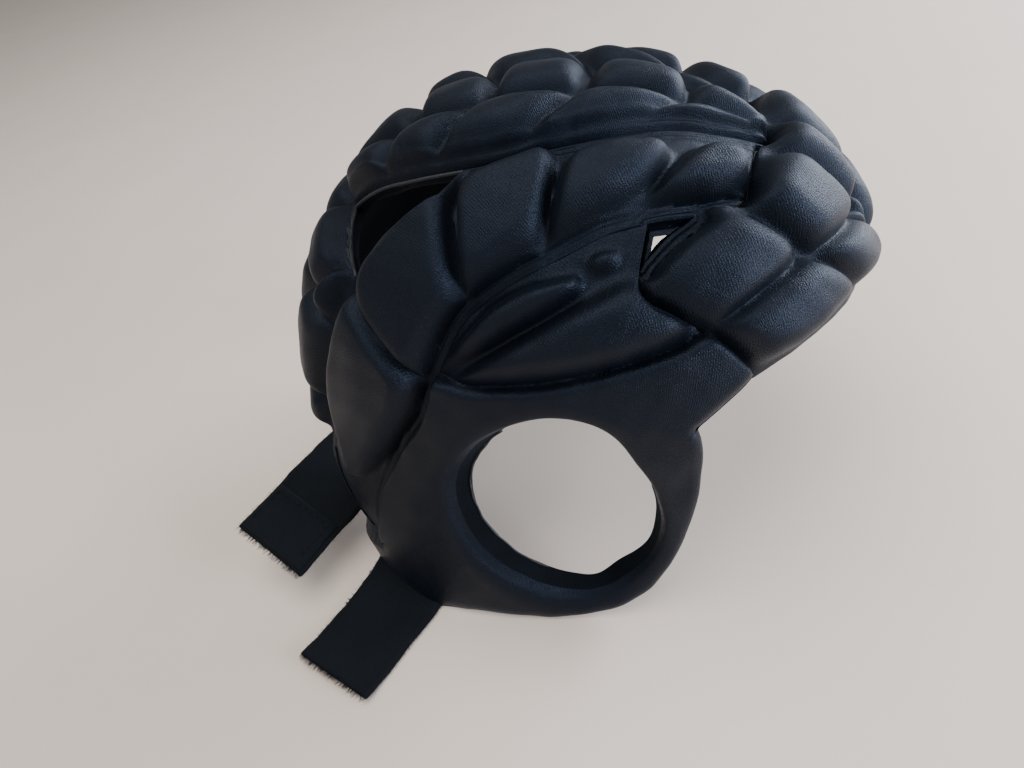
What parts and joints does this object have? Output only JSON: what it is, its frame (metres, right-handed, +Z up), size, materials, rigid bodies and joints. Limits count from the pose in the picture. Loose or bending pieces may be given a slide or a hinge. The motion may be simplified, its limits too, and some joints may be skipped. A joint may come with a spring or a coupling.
{
  "type": "goalkeeper head guard",
  "caption": "Soft padded cap of knit-covered foam cells with open ears, vents between its panels and hook-and-loop straps at the nape, worn to soften knocks to the head.",
  "frame": {"origin": "on the floor, under the middle of the whole thing with its straps", "axes": "+Y towards the wearer's front, +X towards the wearer's right, +Z up"},
  "size_m": [0.2264, 0.2492, 0.17],
  "materials": {
    "knit": "near-black stretch knit with a satin sheen over foam",
    "webbing": "matt black hook-and-loop webbing with a short pile"
  },
  "bodies": {
    "root": {"crown_panel": "knit", "back_panel": "knit", "brow_panel": "knit", "side_panel_right": "knit", "side_panel_left": "knit", "ear_panel_right": "knit", "ear_panel_left": "knit", "strap_right": "webbing", "strap_left": "webbing", "strap_left_patch": "webbing"}
  },
  "joints": []
}
